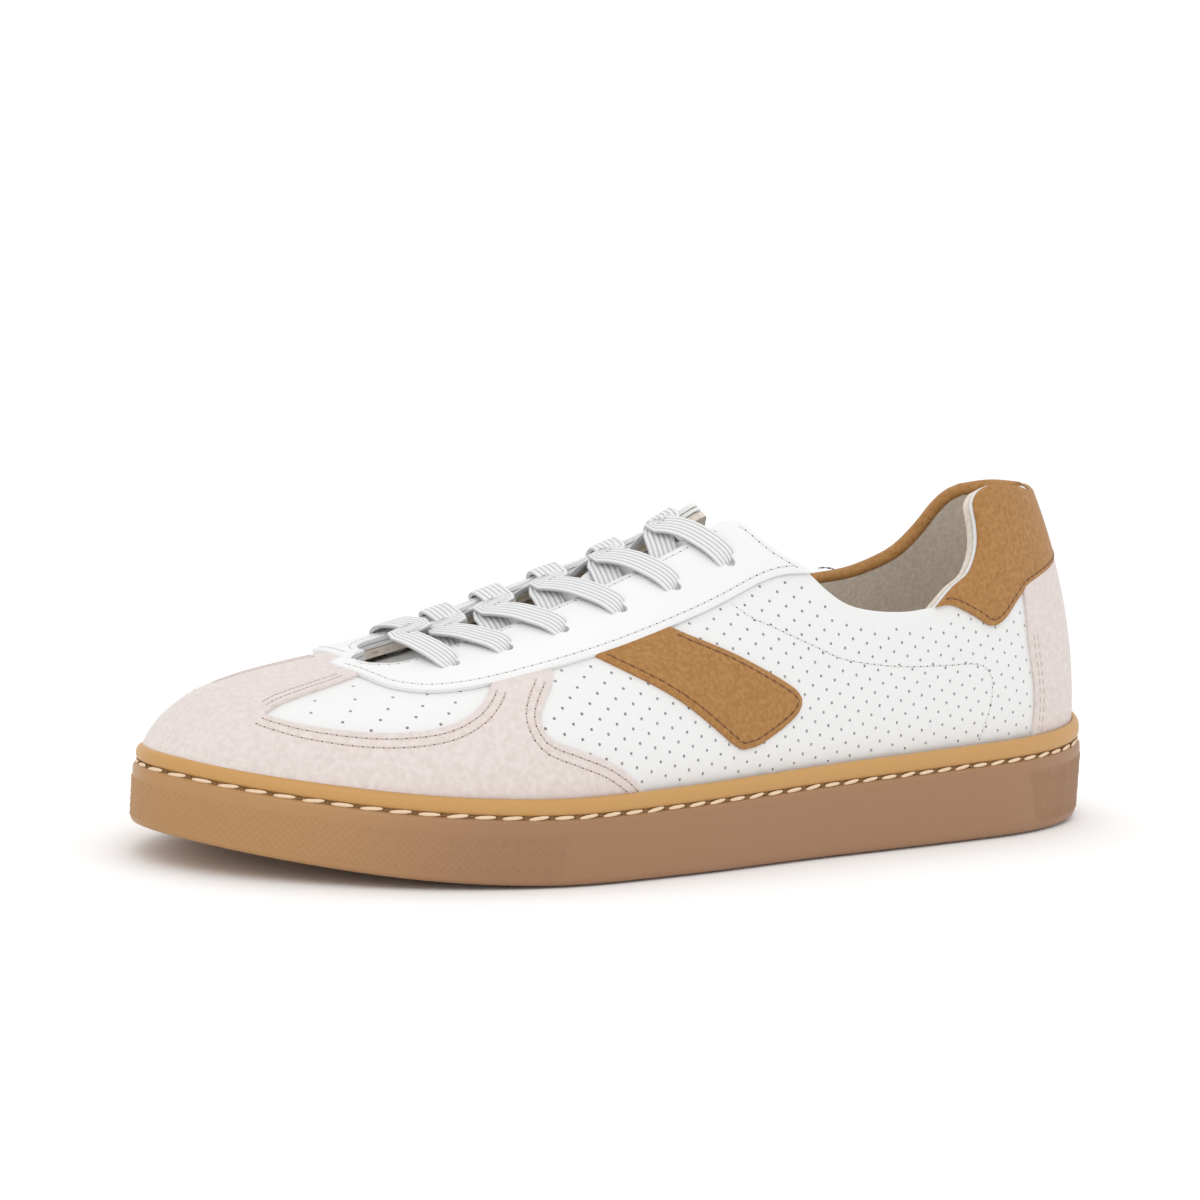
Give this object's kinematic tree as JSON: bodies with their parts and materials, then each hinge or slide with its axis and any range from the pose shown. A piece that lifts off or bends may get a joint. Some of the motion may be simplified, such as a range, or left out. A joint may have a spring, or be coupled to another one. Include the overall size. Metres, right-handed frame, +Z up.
{
  "type": "court shoe",
  "caption": "Low court trainer with a laced white perforated leather upper, off-white suede toe overlay, brown suede side band and heel tab, on a stitched gum rubber cupsole.",
  "frame": {"origin": "centre of the bounding box in plan, at the underside of the sole", "axes": "-X towards the toe, +X towards the heel, -Y towards the outer (lateral) side of this left shoe, +Z up"},
  "size_m": [0.2749, 0.0984, 0.0877],
  "materials": {
    "leather_white": "semi-matt smooth grain, punched on the vamp and quarters",
    "suede_offwhite": "napped suede",
    "suede_brown": "napped suede",
    "lining": "soft brushed lining",
    "gum_rubber": "satin moulded gum rubber with a knurled toe and heel",
    "thread": "twisted waxed thread",
    "foam": "closed-cell foam",
    "board": "fibre board",
    "steel": "plain strip",
    "lace": "flat woven, ribbed lengthwise",
    "felt": "covered foam footbed"
  },
  "bodies": {
    "shoe": {"cupsole": "gum_rubber", "sole_stitch_thread": "thread", "midsole_filler": "foam", "shank": "steel", "insole_board": "board", "sockliner": "felt", "vamp": "leather_white", "quarter_lateral": "leather_white", "quarter_medial": "leather_white", "eyestay": "leather_white", "toe_cap": "suede_offwhite", "side_band_lateral": "suede_brown", "side_band_medial": "suede_brown", "heel_tab": "suede_brown", "backstay": "suede_offwhite", "collar_binding": "suede_brown", "vamp_lining": "lining", "quarter_lining": "lining", "toe_puff": "board", "heel_counter": "board", "collar_foam": "foam", "eyelet_reinforcement_lateral": "board", "eyelet_reinforcement_medial": "board", "lace": "lace"},
    "tongue": {"tongue": "leather_white", "tongue_lining": "lining", "tongue_lace_keeper": "leather_white"}
  },
  "joints": [
    {"name": "tongue_fold", "type": "hinge", "parent": "shoe", "child": "tongue", "pos_m": [-0.079, 0.003, 0.0375], "axis": [0, 1, 0], "range_deg": [0, 8]}
  ]
}
